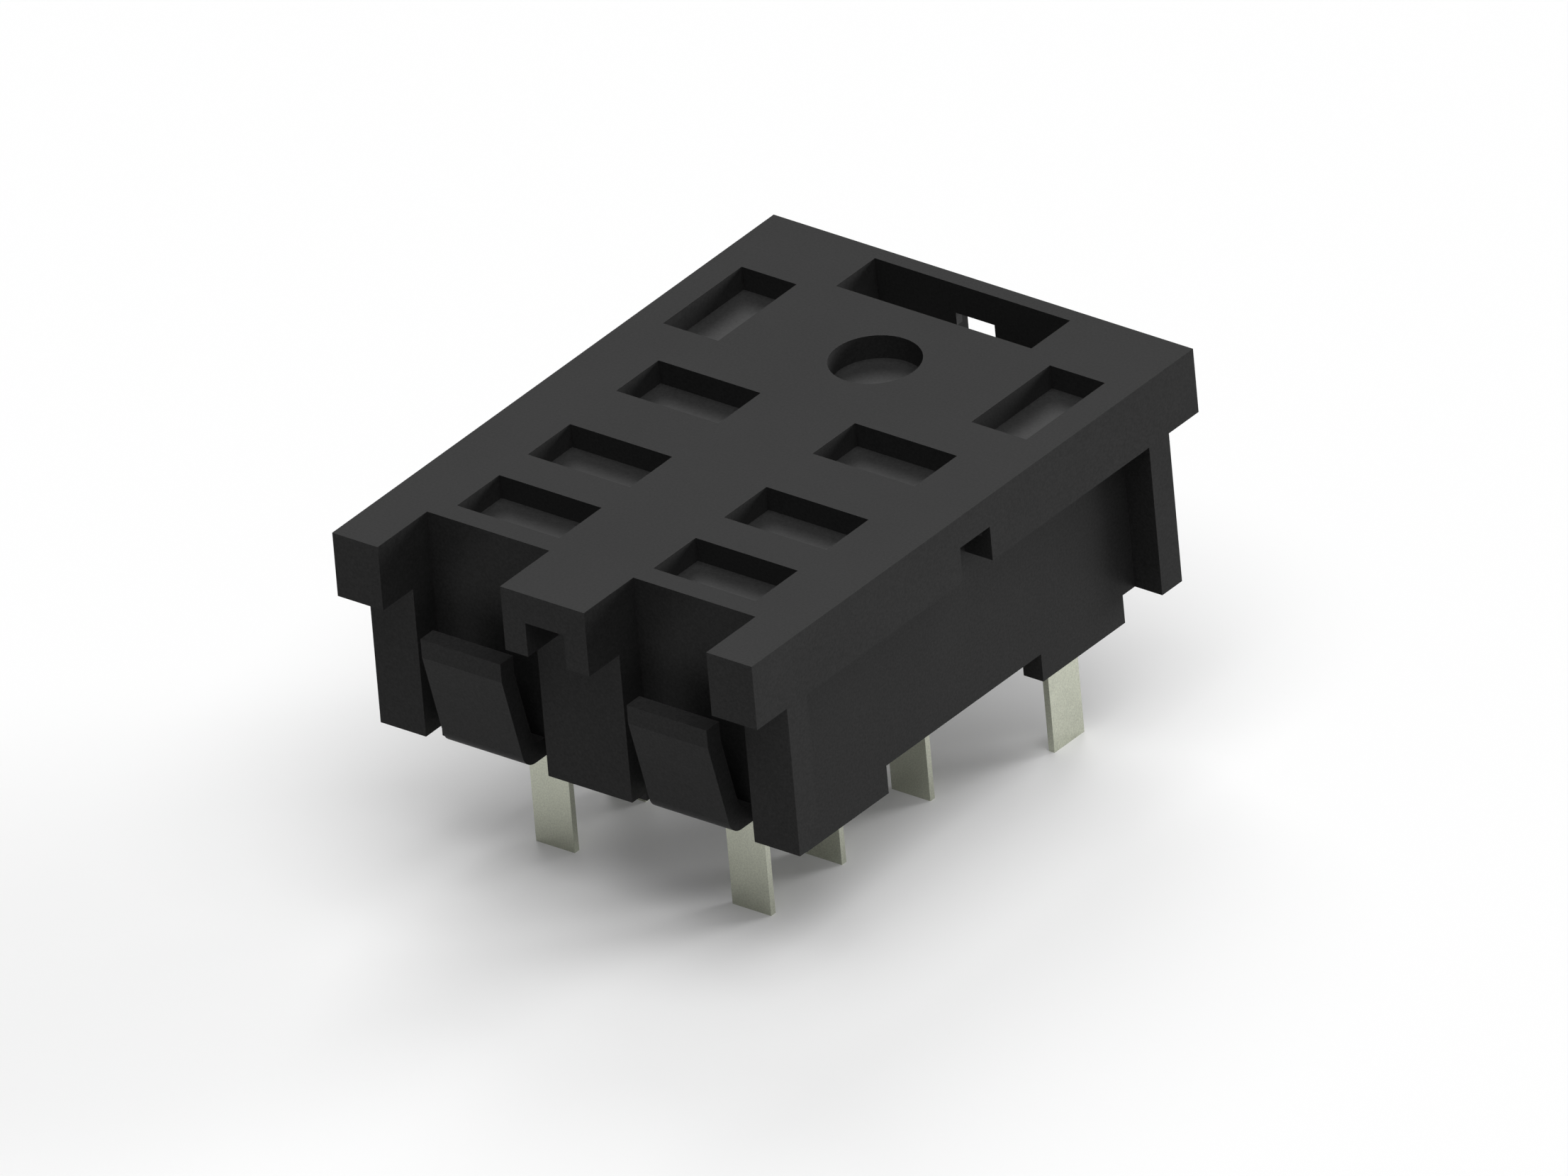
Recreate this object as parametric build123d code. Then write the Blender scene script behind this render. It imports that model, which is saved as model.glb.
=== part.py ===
from build123d import *
import math
import os

# Snap-in relay socket: a flanged housing and a cover plate around eight stamped receptacles.
# X runs across the socket, Y runs along it with the pair of small latches at -Y, and Z is up.
# The origin is under the middle of the flange, level with the tips of the tails. Sizes are in mm.

# Relay blade that a receptacle takes
BLADE_WIDTH = 4.75
BLADE_THICKNESS = 0.5
BLADE_PLAY = 0.1

# Contact pattern, in rows counted from the flange's latch end
LATCH_END_MARGIN = 5.76
NC_TO_NO = 4.76
NO_TO_COM = 5.95
COM_TO_KEY_HOLE = 5.95
COM_TO_COIL = 6.55
COLUMN_PITCH = 10.16
COIL_PITCH = 15.95
SIDE_MARGIN = 2.875

# Pockets in the cover's face
POCKET_END_MARGIN = 0.265
POCKET_WIDTH = 2.84
POCKET_DEPTH = 1.08
SLIT_STEP = 0.07
KEY_HOLE_DIAMETER = 3.94

# Flange, whose upper part is the cover plate
FLANGE_LENGTH = 29.7
FLANGE_THICKNESS = 3.0
COVER_THICKNESS = 2.0
SIDE_TAB_WIDTH = 2.35
CENTRE_TAB_WIDTH = 4.34
REAR_SLOT_WIDTH = 10.1
REAR_RIM = 0.73
RIM_NOTCH_WIDTH = 2.0
RIM_NOTCH_HEIGHT = 1.6

# Body of the housing under the flange
BODY_HEIGHT = 7.0
BODY_FLOOR = 1.0
SIDE_OVERHANG = 1.42
END_OVERHANG = 2.0
POST_THICKNESS = 1.33
SIDE_WALL = 1.02
END_WALL = 0.82
CORE_WALL = 1.0
FOOT_HEIGHT = 1.3
FOOT_LENGTH = 5.5
CENTRE_FOOT_WIDTH = 2.3

# Pegs that locate the cover on the housing
PEG_DIAMETER = 1.6
PEG_HEIGHT = 1.2
PEG_CLEARANCE = 0.05

# Latches that hold a panel against the flange
PANEL_GAP = 1.48
LATCH_SETBACK = 0.88
LATCH_SIDE_GAP = 1.1
LATCH_LIP_HEIGHT = 0.87
LATCH_ARM = 0.85
LATCH_FOOT = 0.83
LATCH_LEAN = 12.75
LATCH_OUTER_RADIUS = 0.8
LATCH_INNER_RADIUS = 0.6

# Stamped contacts
STOCK = 0.3
BEND_RADIUS = 0.15
BLADE_SIDE_PLAY = 0.025
ROLL_PLAY = 0.05
LIP_SQUEEZE = 0.1
LIP_SPLIT = 1.2
LEAD_IN = 0.6
WEB_HEIGHT = 0.9
DIMPLE_RADIUS = 0.9
DIMPLE_HEIGHT = 0.15
TAIL_WIDTH = 2.0
TAIL_REACH = 4.7
TAIL_OFFSET = 0.11
CONTACT_CLEARANCE = 0.05

# Levels
FOOT_BOTTOM = TAIL_REACH
BODY_BOTTOM = FOOT_BOTTOM + FOOT_HEIGHT
CAVITY_FLOOR = BODY_BOTTOM + BODY_FLOOR
FLANGE_BOTTOM = BODY_BOTTOM + BODY_HEIGHT
COVER_TOP = FLANGE_BOTTOM + FLANGE_THICKNESS
COVER_BOTTOM = COVER_TOP - COVER_THICKNESS
POCKET_FLOOR = COVER_TOP - POCKET_DEPTH

# Plan
FLANGE_WIDTH = COIL_PITCH + 2 * SIDE_MARGIN
FLANGE_FRONT = -FLANGE_LENGTH / 2
FLANGE_REAR = FLANGE_LENGTH / 2
END_RECESS = END_OVERHANG + POST_THICKNESS
BODY_WIDTH = FLANGE_WIDTH - 2 * SIDE_OVERHANG
BODY_LENGTH = FLANGE_LENGTH - 2 * END_RECESS
RECESS_WIDTH = (FLANGE_WIDTH - CENTRE_TAB_WIDTH) / 2 - SIDE_TAB_WIDTH
RECESS_X = (CENTRE_TAB_WIDTH + RECESS_WIDTH) / 2
SIDE_TAB_X = (FLANGE_WIDTH - SIDE_TAB_WIDTH) / 2
NC_ROW = FLANGE_FRONT + LATCH_END_MARGIN
NO_ROW = NC_ROW + NC_TO_NO
COM_ROW = NO_ROW + NO_TO_COM
COIL_ROW = COM_ROW + COM_TO_COIL
KEY_HOLE_Y = COM_ROW + COM_TO_KEY_HOLE
POCKET_LENGTH = BLADE_WIDTH + 2 * POCKET_END_MARGIN

# Receptacle section: a leaf in line with the tail, and rolled sides over the blade at -Y of it
RECEPTACLE_WIDTH = BLADE_WIDTH + 2 * (BLADE_SIDE_PLAY + STOCK)
ROLL_OFFSET = BLADE_THICKNESS + ROLL_PLAY + STOCK
LIP_OFFSET = BLADE_THICKNESS - LIP_SQUEEZE + STOCK
RECEPTACLE_TOP = COVER_BOTTOM - CONTACT_CLEARANCE
ROLL_BOTTOM = CAVITY_FLOOR + WEB_HEIGHT
CAVITY_LENGTH = RECEPTACLE_WIDTH + 2 * CONTACT_CLEARANCE
CAVITY_WIDTH = ROLL_OFFSET + STOCK + 2 * CONTACT_CLEARANCE

FROM_FRONT = (Align.CENTER, Align.MIN)
FROM_REAR = (Align.CENTER, Align.MAX)
QUARTER_TURN = 90


def pocket_sites():
    """Each contact's name and the place of its pocket, the coil pair a quarter turn round."""
    sites = {}
    for side, sign in (("left", -1), ("right", 1)):
        for row, y in (("nc", NC_ROW), ("no", NO_ROW), ("com", COM_ROW)):
            sites[f"contact_{row}_{side}"] = Pos(sign * COLUMN_PITCH / 2, y)
        sites[f"contact_coil_{side}"] = Pos(sign * COIL_PITCH / 2, COIL_ROW) * Rot(0, 0, QUARTER_TURN)
    return sites


SITES = pocket_sites()
CONTACT_SITES = {name: Pos(0, -TAIL_OFFSET) * site for name, site in SITES.items()}


def prism(sketch, bottom, top):
    """A flat sketch raised between two levels."""
    return extrude(Pos(0, 0, bottom) * sketch, top - bottom, dir=(0, 0, 1))


def pattern(sketch, sites):
    """The same sketch at each site."""
    return Sketch() + [site * sketch for site in sites.values()]


def flange_plan():
    """The flange with the two recesses over the small latches and the slot over the wide one."""
    plan = Rectangle(FLANGE_WIDTH, FLANGE_LENGTH)
    recess = Rectangle(RECESS_WIDTH, END_RECESS, align=FROM_FRONT)
    for x in (-RECESS_X, RECESS_X):
        plan -= Pos(x, FLANGE_FRONT) * recess
    slot = Rectangle(REAR_SLOT_WIDTH, END_RECESS - REAR_RIM, align=FROM_REAR)
    return plan - Pos(0, FLANGE_REAR - REAR_RIM) * slot


def rim_notches():
    """A notch under the middle of each edge of the flange, cut back to what stands behind it."""
    front = Rectangle(RIM_NOTCH_WIDTH, END_OVERHANG, align=FROM_FRONT)
    rear = Rectangle(RIM_NOTCH_WIDTH, REAR_RIM, align=FROM_REAR)
    side = Rectangle(SIDE_OVERHANG, RIM_NOTCH_WIDTH)
    side_x = (FLANGE_WIDTH - SIDE_OVERHANG) / 2
    plan = Pos(0, FLANGE_FRONT) * front + Pos(0, FLANGE_REAR) * rear
    plan += Pos(-side_x, 0) * side + Pos(side_x, 0) * side
    return prism(plan, FLANGE_BOTTOM, FLANGE_BOTTOM + RIM_NOTCH_HEIGHT)


def peg_places():
    """Two places on the centre line, clear of the key hole."""
    return [Pos(0, (NC_ROW + NO_ROW) / 2), Pos(0, COM_ROW)]


def top_cover():
    """The plate that closes the housing: blind pockets, key hole, peg holes, and slits for the
    blades, which stand a step off the leaves so that no blade strikes a leaf's end."""
    cover = prism(flange_plan(), COVER_BOTTOM, COVER_TOP) - rim_notches()
    cover -= prism(pattern(Rectangle(POCKET_LENGTH, POCKET_WIDTH), SITES), POCKET_FLOOR, COVER_TOP)
    slit = Rectangle(BLADE_WIDTH + BLADE_PLAY, BLADE_THICKNESS + BLADE_PLAY, align=FROM_REAR)
    slit = Pos(0, -STOCK / 2 - SLIT_STEP) * slit
    cover -= prism(pattern(slit, CONTACT_SITES), COVER_BOTTOM, POCKET_FLOOR)
    cover -= prism(Pos(0, KEY_HOLE_Y) * Circle(KEY_HOLE_DIAMETER / 2), POCKET_FLOOR, COVER_TOP)
    peg_hole = Circle(PEG_DIAMETER / 2 + PEG_CLEARANCE)
    for place in peg_places():
        cover -= prism(place * peg_hole, COVER_BOTTOM, COVER_BOTTOM + PEG_HEIGHT + PEG_CLEARANCE)
    return cover


def body_plan():
    """The body with the posts that stand under the flange's tabs and rear corners."""
    plan = Rectangle(BODY_WIDTH, BODY_LENGTH)
    corner_post = Rectangle(SIDE_TAB_WIDTH, POST_THICKNESS, align=FROM_FRONT)
    centre_post = Rectangle(CENTRE_TAB_WIDTH, POST_THICKNESS, align=FROM_FRONT)
    front = FLANGE_FRONT + END_OVERHANG
    plan += Pos(0, front) * centre_post
    for x in (-SIDE_TAB_X, SIDE_TAB_X):
        plan += Pos(x, front) * corner_post
        plan += Pos(x, BODY_LENGTH / 2) * corner_post
    return plan


def feet_plan():
    """Feet that carry the side walls and the middle of the body down at both ends."""
    side_x = (BODY_WIDTH - SIDE_WALL) / 2
    inner_end = BODY_LENGTH / 2 - END_WALL
    row = Pos(0, inner_end) * Rectangle(CENTRE_FOOT_WIDTH, FOOT_LENGTH, align=FROM_REAR)
    for x in (-side_x, side_x):
        row += Pos(x, inner_end) * Rectangle(SIDE_WALL, FOOT_LENGTH, align=FROM_REAR)
    return row + mirror(row, about=Plane.XZ)


def core_plan():
    """Hollows between the columns of contacts, which keep the walls even and leave the pegs a pad."""
    column_gap = COLUMN_PITCH - CAVITY_LENGTH - 2 * CORE_WALL
    coil_gap = COIL_PITCH - 2 * (ROLL_OFFSET + STOCK + CORE_WALL)
    pad = PEG_DIAMETER / 2 + CORE_WALL
    first_peg, second_peg = (place.position.Y for place in peg_places())
    ends = BODY_LENGTH / 2 - CORE_WALL
    spans = (
        (column_gap, -ends, first_peg - pad),
        (column_gap, first_peg + pad, second_peg - pad),
        (coil_gap, second_peg + pad, ends),
    )
    plan = Sketch()
    for width, start, end in spans:
        plan += Pos(0, start) * Rectangle(width, end - start, align=FROM_FRONT)
    return plan


def latch(width):
    """A springy strip that rises from the front of the body's floor to a lip below the panel."""
    lip_front = FLANGE_FRONT + LATCH_SETBACK
    lip_top = FLANGE_BOTTOM - PANEL_GAP
    lean_top = lip_top - LATCH_LIP_HEIGHT
    slope = math.tan(math.radians(LATCH_LEAN))
    lean = (lean_top - BODY_BOTTOM) * slope
    foot_lean = (lean_top - BODY_BOTTOM - LATCH_FOOT) * slope
    wall = -BODY_LENGTH / 2
    outer_corner = (lip_front + lean, BODY_BOTTOM)
    inner_corner = (lip_front + LATCH_ARM + foot_lean, BODY_BOTTOM + LATCH_FOOT)
    side = make_face(Polyline(
        (lip_front, lip_top), (lip_front, lean_top), outer_corner,
        (wall, BODY_BOTTOM), (wall, BODY_BOTTOM + LATCH_FOOT), inner_corner,
        (lip_front + LATCH_ARM, lean_top), (lip_front + LATCH_ARM, lip_top), close=True))
    side = fillet(side.vertices().sort_by_distance(outer_corner)[0], LATCH_OUTER_RADIUS)
    side = fillet(side.vertices().sort_by_distance(inner_corner)[0], LATCH_INNER_RADIUS)
    return extrude(Plane.YZ * side, width / 2, both=True)


def latch_housing():
    """The housing: body, lower flange, posts, feet, latches, pegs and a cavity for each contact."""
    housing = prism(body_plan(), BODY_BOTTOM, FLANGE_BOTTOM)
    housing += prism(flange_plan(), FLANGE_BOTTOM, COVER_BOTTOM) - rim_notches()
    housing += prism(feet_plan(), FOOT_BOTTOM, BODY_BOTTOM)
    small_latch = latch(RECESS_WIDTH - 2 * LATCH_SIDE_GAP)
    housing += [Pos(-RECESS_X, 0) * small_latch, Pos(RECESS_X, 0) * small_latch]
    housing += mirror(latch(REAR_SLOT_WIDTH - 2 * LATCH_SIDE_GAP), about=Plane.XZ)
    cavity = Pos(0, STOCK / 2 + CONTACT_CLEARANCE) * Rectangle(CAVITY_LENGTH, CAVITY_WIDTH, align=FROM_REAR)
    housing -= prism(pattern(cavity, CONTACT_SITES), CAVITY_FLOOR, COVER_BOTTOM)
    tail_slot = Rectangle(TAIL_WIDTH + 2 * CONTACT_CLEARANCE, STOCK + 2 * CONTACT_CLEARANCE)
    housing -= prism(pattern(tail_slot, CONTACT_SITES), BODY_BOTTOM, CAVITY_FLOOR)
    housing -= prism(core_plan(), CAVITY_FLOOR, COVER_BOTTOM)
    for place in peg_places():
        housing += prism(place * Circle(PEG_DIAMETER / 2), COVER_BOTTOM, COVER_BOTTOM + PEG_HEIGHT)
    return housing


def rolled_sides():
    """The leaf with both sides rolled over the blade, their lips cut back to lead it in."""
    half = (RECEPTACLE_WIDTH - STOCK) / 2
    centre_line = FilletPolyline(
        (-LIP_SPLIT / 2, -LIP_OFFSET), (-half, -ROLL_OFFSET), (-half, 0),
        (half, 0), (half, -ROLL_OFFSET), (LIP_SPLIT / 2, -LIP_OFFSET),
        radius=BEND_RADIUS + STOCK / 2)
    rolled = prism(trace(centre_line, STOCK), ROLL_BOTTOM, RECEPTACLE_TOP)
    lead_in = make_face(Polyline(
        (-LIP_SPLIT / 2 - LEAD_IN, RECEPTACLE_TOP), (LIP_SPLIT / 2 + LEAD_IN, RECEPTACLE_TOP),
        (LIP_SPLIT / 2, RECEPTACLE_TOP - LEAD_IN), (-LIP_SPLIT / 2, RECEPTACLE_TOP - LEAD_IN), close=True))
    return rolled - extrude(Plane.XZ.offset(STOCK / 2) * lead_in, ROLL_OFFSET)


def flat_blank():
    """The unrolled foot of the leaf with its shoulders, and the tail in line with it."""
    web_width = RECEPTACLE_WIDTH - 2 * (STOCK + BEND_RADIUS)
    web = Pos(0, CAVITY_FLOOR) * Rectangle(web_width, WEB_HEIGHT, align=FROM_FRONT)
    tail = Rectangle(TAIL_WIDTH, CAVITY_FLOOR, align=FROM_FRONT)
    return extrude(Plane.XZ * (web + tail), STOCK / 2, both=True)


def receptacle_contact():
    """One stamping: rolled receptacle, dimple that catches the blade's hole, shoulders and tail."""
    contact = rolled_sides() + flat_blank()
    ball = Sphere(DIMPLE_RADIUS)
    front = Pos(0, -STOCK) * Box(RECEPTACLE_WIDTH, 2 * STOCK, RECEPTACLE_WIDTH)
    centre = Pos(0, DIMPLE_RADIUS - DIMPLE_HEIGHT - STOCK / 2)
    middle = Pos(0, 0, (ROLL_BOTTOM + RECEPTACLE_TOP) / 2)
    contact += middle * (centre * ball & front)
    return contact - middle * Pos(0, STOCK) * centre * ball


def main():
    os.makedirs("parts", exist_ok=True)
    export_step(top_cover(), "parts/top_cover.step")
    export_step(latch_housing(), "parts/latch_housing.step")
    contact = receptacle_contact()
    for name, site in CONTACT_SITES.items():
        export_step(site * contact, f"parts/{name}.step")


main()
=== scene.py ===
"""Dresses the snap-in relay socket: black moulding, tin-plated contacts, a pale floor, soft light."""
import math

import bpy
from mathutils import Matrix, Vector


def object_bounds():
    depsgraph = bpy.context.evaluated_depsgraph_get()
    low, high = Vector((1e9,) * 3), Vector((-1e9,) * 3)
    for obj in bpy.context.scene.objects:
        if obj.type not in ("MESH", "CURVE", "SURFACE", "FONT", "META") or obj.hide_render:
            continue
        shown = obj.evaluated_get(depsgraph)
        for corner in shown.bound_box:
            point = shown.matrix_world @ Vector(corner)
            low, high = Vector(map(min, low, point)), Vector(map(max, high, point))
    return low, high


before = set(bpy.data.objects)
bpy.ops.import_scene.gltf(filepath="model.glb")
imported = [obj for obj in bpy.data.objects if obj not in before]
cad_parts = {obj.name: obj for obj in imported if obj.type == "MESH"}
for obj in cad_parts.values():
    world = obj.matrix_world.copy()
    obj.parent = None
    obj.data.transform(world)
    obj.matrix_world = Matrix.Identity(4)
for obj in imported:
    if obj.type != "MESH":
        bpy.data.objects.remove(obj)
cad_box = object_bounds()
low, high = cad_box

MM = 0.001
WHITE = (1.0, 1.0, 1.0, 1.0)

# The picture's frame, and where it shows the middle of the socket's face
PICTURE_WIDTH = 2212
PICTURE_HEIGHT = 1659
PIXELS_PER_MM = 34.5
FACE_CENTRE_COLUMN = 1075.8
FACE_CENTRE_LINE = 621.7

# The picture is a parallel view, turned a little about its own axis
VIEW_AZIMUTH = 40.12
VIEW_ELEVATION = 30.0
VIEW_ROLL = -5.1
CAMERA_DISTANCE = 300 * MM
CAMERA_NEAR = 10 * MM

# Block of the face's pockets and holes, which core pins form: how far inside the socket's box it lies
CORE_SIDE_INSET = 0.45 * MM
CORE_FRONT_INSET = 3.45 * MM
CORE_REAR_INSET = 0.35 * MM
CORE_TOP_INSET = 0.02 * MM

# Black moulding: a fine grain, which is also its relief, and a faint wide mottle
PLASTIC_TONE = 0.0182
PLASTIC_GLOSS = 0.05
PLASTIC_IOR = 1.5
PLASTIC_ROUGHNESS = 0.42
PLASTIC_ROUGHNESS_SPREAD = 0.08
GRAIN_SCALE = 9000.0
GRAIN_DETAIL = 3.0
GRAIN_STRENGTH = 0.3
GRAIN_DEPTH = 0.006 * MM
MOTTLE_SCALE = 260.0
MOTTLE_DETAIL = 4.0
MOTTLE_CONTRAST = 0.3

# The surfaces that core pins leave have a satin coat, and a paler tone that is painted light, brightening
# the pockets and holes
POCKET_PAINTED_LIGHT_TONE = 0.025
CORED_SHEEN = 0.3
CORED_ROUGHNESS = 0.6

# Tin plate: two tones mixed by a fine speckle, which is also its relief, and a wider cloud
TIN_DARK = (0.43, 0.443, 0.37, 1.0)
TIN_LIGHT = (0.62, 0.639, 0.534, 1.0)
TIN_ROUGHNESS = 0.4
TIN_ROUGHNESS_SPREAD = 0.3
SPECKLE_SCALE = 14000.0
SPECKLE_DETAIL = 2.0
SPECKLE_CONTRAST = 1.9
SPECKLE_STRENGTH = 0.4
SPECKLE_DEPTH = 0.003 * MM
CLOUD_SCALE = 900.0
CLOUD_DETAIL = 3.0
CLOUD_CONTRAST = 0.35

# Places of the colour sockets on a Mix node, whose names repeat
MIX_FACTOR = 0
MIX_FIRST = 6
MIX_SECOND = 7
MIX_RESULT = 2

# Light: a dim even room, a soft light nearly overhead, one behind that the face mirrors, and a low
# one from the right. Azimuths are turns from the camera's side, counted to the right.
ROOM_LIGHT = 0.05
SOFT_LIGHTS = {
    "overhead_light": {"azimuth": 20.0, "elevation": 75.0, "angle": 60.0, "strength": 2.45},
    "back_light": {"azimuth": 180.0, "elevation": 40.0, "angle": 30.0, "strength": 0.955},
    "side_light": {"azimuth": 110.0, "elevation": 6.0, "angle": 30.0, "strength": 3.3}}

# Floor, and the backdrop that the camera sees past it
FLOOR_TONE = 0.796
FLOOR_LIFT = 0.1
FLOOR_SIZE = 1200 * MM
BACKDROP_TONE = 0.99


class Signal:
    """A socket in a shader: arithmetic on it adds Math nodes, and node() adds any other node."""

    def __init__(self, socket):
        self.socket = socket

    def node(self, kind, settings, inputs, output=0):
        """A node of that kind, its settings made before its inputs, and the output asked for."""
        made = self.socket.id_data.nodes.new(kind)
        for name, value in settings.items():
            setattr(made, name, value)
        for name, value in inputs.items():
            feed(made.inputs[name], value)
        return Signal(made.outputs[output])

    def maths(self, operation, *terms):
        """A Math node on the terms, in their order."""
        return self.node("ShaderNodeMath", {"operation": operation}, dict(enumerate(terms)))

    def __add__(self, other):
        return self.maths("ADD", self, other)

    __radd__ = __add__

    def __sub__(self, other):
        return self.maths("SUBTRACT", self, other)

    def __rsub__(self, other):
        return self.maths("SUBTRACT", other, self)

    def __mul__(self, other):
        return self.maths("MULTIPLY", self, other)

    __rmul__ = __mul__

    def __lt__(self, other):
        return self.maths("LESS_THAN", self, other)

    def __gt__(self, other):
        return self.maths("GREATER_THAN", self, other)

    def __abs__(self):
        return self.maths("ABSOLUTE", self)


def feed(socket, value):
    """Links a signal to a socket, or sets the socket to a plain value."""
    if isinstance(value, Signal):
        value.socket.id_data.links.new(value.socket, socket)
    else:
        socket.default_value = value


def new_material(name, constants):
    """A material with its shader's constants set; returns it and its shader."""
    material = bpy.data.materials.new(name)
    material.use_nodes = True
    shader = material.node_tree.nodes["Principled BSDF"]
    for socket, value in constants.items():
        shader.inputs[socket].default_value = value
    return material, shader


def object_place(shader):
    """The object coordinates, for a pattern that feeds the shader."""
    return Signal(shader.outputs["BSDF"]).node("ShaderNodeTexCoord", {}, {}, output="Object")


def noise(place, scale, detail):
    """A noise pattern that swings about nought."""
    return place.node("ShaderNodeTexNoise", {}, {"Vector": place, "Scale": scale, "Detail": detail}) - 0.5


def relief(pattern, strength, depth):
    """The pattern as fine bumps, for a shader's normal."""
    return pattern.node("ShaderNodeBump", {}, {"Strength": strength, "Distance": depth, "Height": pattern})


def core_side(place):
    """One where core pins form the surface, in the pockets and holes of the face, else nought: the mask of
    the pockets' painted light and satin coat.
    """
    across, along, height = (place.node("ShaderNodeSeparateXYZ", {}, {"Vector": place}, output=axis)
                             for axis in range(3))
    return ((abs(across) < high.x - CORE_SIDE_INSET)
            * (along > low.y + CORE_FRONT_INSET)
            * (along < high.y - CORE_REAR_INSET)
            * (height < high.z - CORE_TOP_INSET))


def moulded_plastic(name, pocket_light_and_coat=False):
    """Black moulding compound: eroded grain, faint flow mottle and a dull sheen. The cover's pockets and
    holes get a satin coat and painted light, a paler tone that makes them look more brightly lit."""
    material, shader = new_material(name, {
        "Specular IOR Level": PLASTIC_GLOSS,
        "IOR": PLASTIC_IOR,
        "Coat Roughness": CORED_ROUGHNESS})
    place = object_place(shader)
    grain = noise(place, GRAIN_SCALE, GRAIN_DETAIL)
    mottle = noise(place, MOTTLE_SCALE, MOTTLE_DETAIL)
    tone = PLASTIC_TONE
    if pocket_light_and_coat:
        pocket_surfaces = core_side(place)
        # painted light: a paler tone in the pockets and holes makes them look more brightly lit
        tone = tone + (POCKET_PAINTED_LIGHT_TONE - PLASTIC_TONE) * pocket_surfaces
        feed(shader.inputs["Coat Weight"], CORED_SHEEN * pocket_surfaces)
    feed(shader.inputs["Base Color"], tone * (1 + MOTTLE_CONTRAST * mottle + grain))
    feed(shader.inputs["Roughness"], PLASTIC_ROUGHNESS + PLASTIC_ROUGHNESS_SPREAD * (mottle + grain))
    feed(shader.inputs["Normal"], relief(grain, GRAIN_STRENGTH, GRAIN_DEPTH))
    return material


def tin_plate():
    """Matt tin over brass strip: warm grey, finely speckled and a little cloudy."""
    material, shader = new_material("tin_plate", {"Metallic": 1.0})
    place = object_place(shader)
    speckle = noise(place, SPECKLE_SCALE, SPECKLE_DETAIL)
    cloud = noise(place, CLOUD_SCALE, CLOUD_DETAIL)
    shade = place.node("ShaderNodeMix", {"data_type": "RGBA"}, {
        MIX_FACTOR: 0.5 + SPECKLE_CONTRAST * speckle + CLOUD_CONTRAST * cloud,
        MIX_FIRST: TIN_DARK,
        MIX_SECOND: TIN_LIGHT}, output=MIX_RESULT)
    feed(shader.inputs["Base Color"], shade)
    feed(shader.inputs["Roughness"], TIN_ROUGHNESS + TIN_ROUGHNESS_SPREAD * speckle)
    feed(shader.inputs["Normal"], relief(speckle, SPECKLE_STRENGTH, SPECKLE_DEPTH))
    return material


def paper_floor():
    """The pale matt ground that the tails stand on."""
    return new_material("paper_floor", {
        "Base Color": (FLOOR_TONE, FLOOR_TONE, FLOOR_TONE, 1.0),
        "Roughness": 1.0,
        "Specular IOR Level": 0.0,
        "Emission Color": WHITE,
        "Emission Strength": FLOOR_LIFT})[0]


def dress(node, material):
    """Gives a CAD node its finish."""
    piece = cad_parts[node]
    piece.data.materials.clear()
    piece.data.materials.append(material)


def dress_nodes():
    """Black plastic on the cover and the housing, tin on the contacts."""
    plastic = {"top_cover": moulded_plastic("cover_moulding", pocket_light_and_coat=True),
               "latch_housing": moulded_plastic("housing_moulding")}
    tin = tin_plate()
    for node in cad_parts:
        dress(node, plastic.get(node, tin))


def lay_floor():
    """A wide pale floor under the tails, which isn't part of the socket."""
    bpy.ops.object.select_all(action="DESELECT")
    bpy.ops.mesh.primitive_plane_add(size=FLOOR_SIZE)
    floor = bpy.context.active_object
    floor.name = "floor"
    floor.data.materials.append(paper_floor())


def turned(degrees, axis):
    """A turn about an axis."""
    return Matrix.Rotation(math.radians(degrees), 4, axis)


def facing(azimuth, elevation):
    """The turn of a camera or a lamp that looks at the socket from there."""
    return turned(azimuth, "Z") @ turned(90 - elevation, "X")


def place_in_scene(name, data, matrix):
    """Puts a lamp or a camera into the scene and returns it."""
    made = bpy.data.objects.new(name, data)
    made.matrix_world = matrix
    bpy.context.scene.collection.objects.link(made)
    return made


def soft_light(name, azimuth, elevation, angle, strength):
    """A far, round, soft light of that angle across, which shines on the socket."""
    lamp = bpy.data.lights.new(name, "SUN")
    lamp.angle = math.radians(angle)
    lamp.energy = strength
    place_in_scene(name, lamp, facing(VIEW_AZIMUTH + azimuth, elevation))


def light_room():
    """A dim white room, pale where the camera looks straight at it, and the soft lights."""
    world = bpy.data.worlds.new("soft_room")
    world.use_nodes = True
    room = world.node_tree.nodes["Background"]
    room.inputs["Color"].default_value = WHITE
    seen = Signal(room.outputs["Background"]).node("ShaderNodeLightPath", {}, {}, output="Is Camera Ray")
    feed(room.inputs["Strength"], ROOM_LIGHT + (BACKDROP_TONE - ROOM_LIGHT) * seen)
    bpy.context.scene.world = world
    for name, light in SOFT_LIGHTS.items():
        soft_light(name, **light)
    bpy.context.scene.view_settings.view_transform = "Standard"


def place_camera():
    """A parallel camera at the picture's angle, framed as the picture is."""
    turn = facing(VIEW_AZIMUTH, VIEW_ELEVATION) @ turned(VIEW_ROLL, "Z")
    aside = (PICTURE_WIDTH / 2 - FACE_CENTRE_COLUMN) / PIXELS_PER_MM * MM
    down = (PICTURE_HEIGHT / 2 - FACE_CENTRE_LINE) / PIXELS_PER_MM * MM
    face_centre = Vector((0, 0, high.z))
    lens = bpy.data.cameras.new("camera")
    lens.type = "ORTHO"
    lens.ortho_scale = PICTURE_WIDTH / PIXELS_PER_MM * MM
    lens.clip_start = CAMERA_NEAR
    back_off = Matrix.Translation((aside, -down, CAMERA_DISTANCE))
    camera = place_in_scene("camera", lens, Matrix.Translation(face_centre) @ turn @ back_off)
    bpy.context.scene.camera = camera


dress_nodes()
lay_floor()
light_room()
place_camera()
